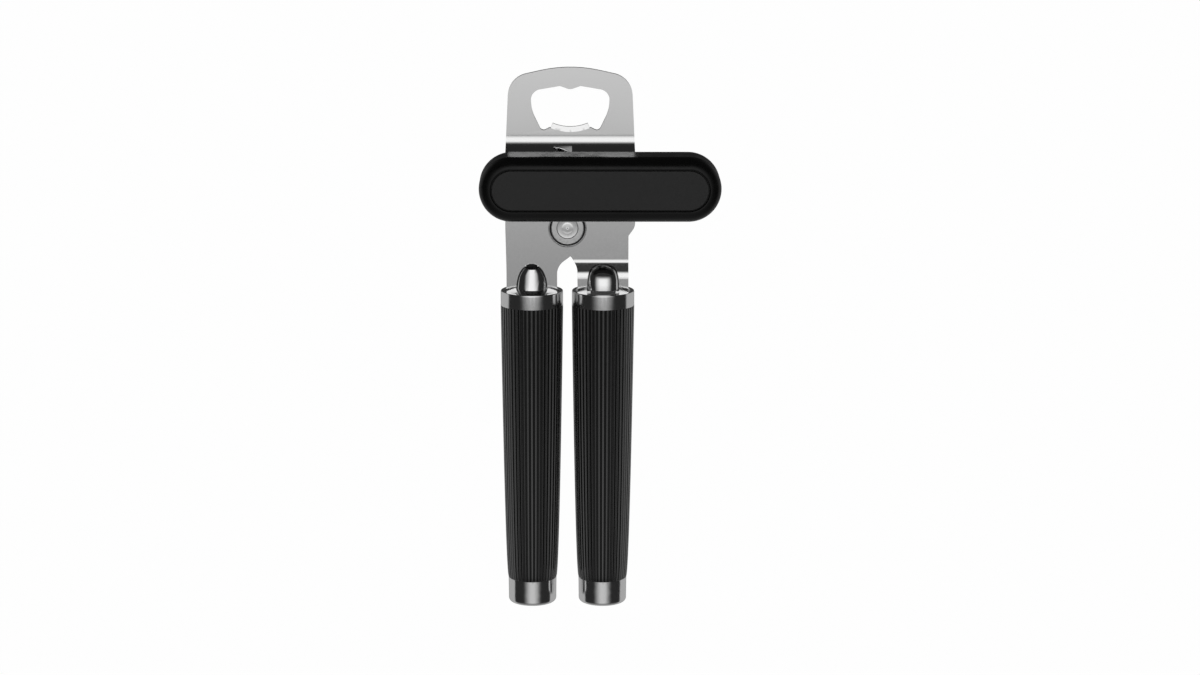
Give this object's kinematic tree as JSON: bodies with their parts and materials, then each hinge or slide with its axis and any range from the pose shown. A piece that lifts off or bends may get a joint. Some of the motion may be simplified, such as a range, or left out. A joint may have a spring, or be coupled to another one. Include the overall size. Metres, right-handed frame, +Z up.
{
  "type": "manual can opener",
  "caption": "Plier-type manual can opener with a turning knob, geared cutting and feed wheels, ribbed handles and a bottle-opener head.",
  "frame": {"origin": "bottom centre of the object's box, standing upright on its end caps; x = 0 is the knob's axle", "axes": "+Z up along the handles to the bottle opener, +X to the right across the two handles, +Y from the knob's side to the cutting side"},
  "size_m": [0.0914, 0.0424, 0.2114],
  "materials": {
    "plate_steel": "satin stainless steel",
    "polished_steel": "polished",
    "fastener_steel": "turned steel",
    "gear_steel": "hardened steel",
    "knob_gloss": "gloss",
    "knob_panel": "fine satin",
    "grip_plastic": "semi-gloss, ribbed",
    "core_plastic": "moulded"
  },
  "bodies": {
    "frame": {"front_plate": "plate_steel", "pivot_rivet": "plate_steel", "pivot_washer": "fastener_steel", "axle_bush": "fastener_steel", "left_ferrule": "polished_steel", "left_core": "core_plastic", "left_grip": "grip_plastic", "left_end_cap": "polished_steel"},
    "lever": {"lever_plate": "plate_steel", "cutter_stud": "fastener_steel", "stud_washer": "fastener_steel", "right_ferrule": "polished_steel", "right_core": "core_plastic", "right_grip": "grip_plastic", "right_end_cap": "polished_steel"},
    "drive": {"knob_shell": "knob_gloss", "knob_inlay": "knob_panel", "knob_screw": "fastener_steel", "knob_collar": "knob_gloss", "thrust_washer": "fastener_steel", "drive_axle": "fastener_steel", "drive_gear": "gear_steel", "feed_wheel": "gear_steel", "feed_washer": "fastener_steel"},
    "cutter": {"cutter_gear": "gear_steel", "cutter_wheel": "polished_steel"}
  },
  "joints": [
    {"name": "handle_pivot", "type": "hinge", "parent": "frame", "child": "lever", "pos_m": [-0.0123, 0.0089, 0.1496], "axis": [0, -1, 0], "range_deg": [0, 24]},
    {"name": "knob_spin", "type": "hinge", "parent": "frame", "child": "drive", "pos_m": [0, 0.0089, 0.16885], "axis": [0, 1, 0], "continuous": true},
    {"name": "cutter_spin", "type": "hinge", "parent": "lever", "child": "cutter", "pos_m": [-0.01839, 0.0089, 0.1683], "axis": [0, 1, 0], "continuous": true}
  ],
  "couplings": [
    {"joint": "cutter_spin", "follows": "knob_spin", "ratio": -1}
  ]
}
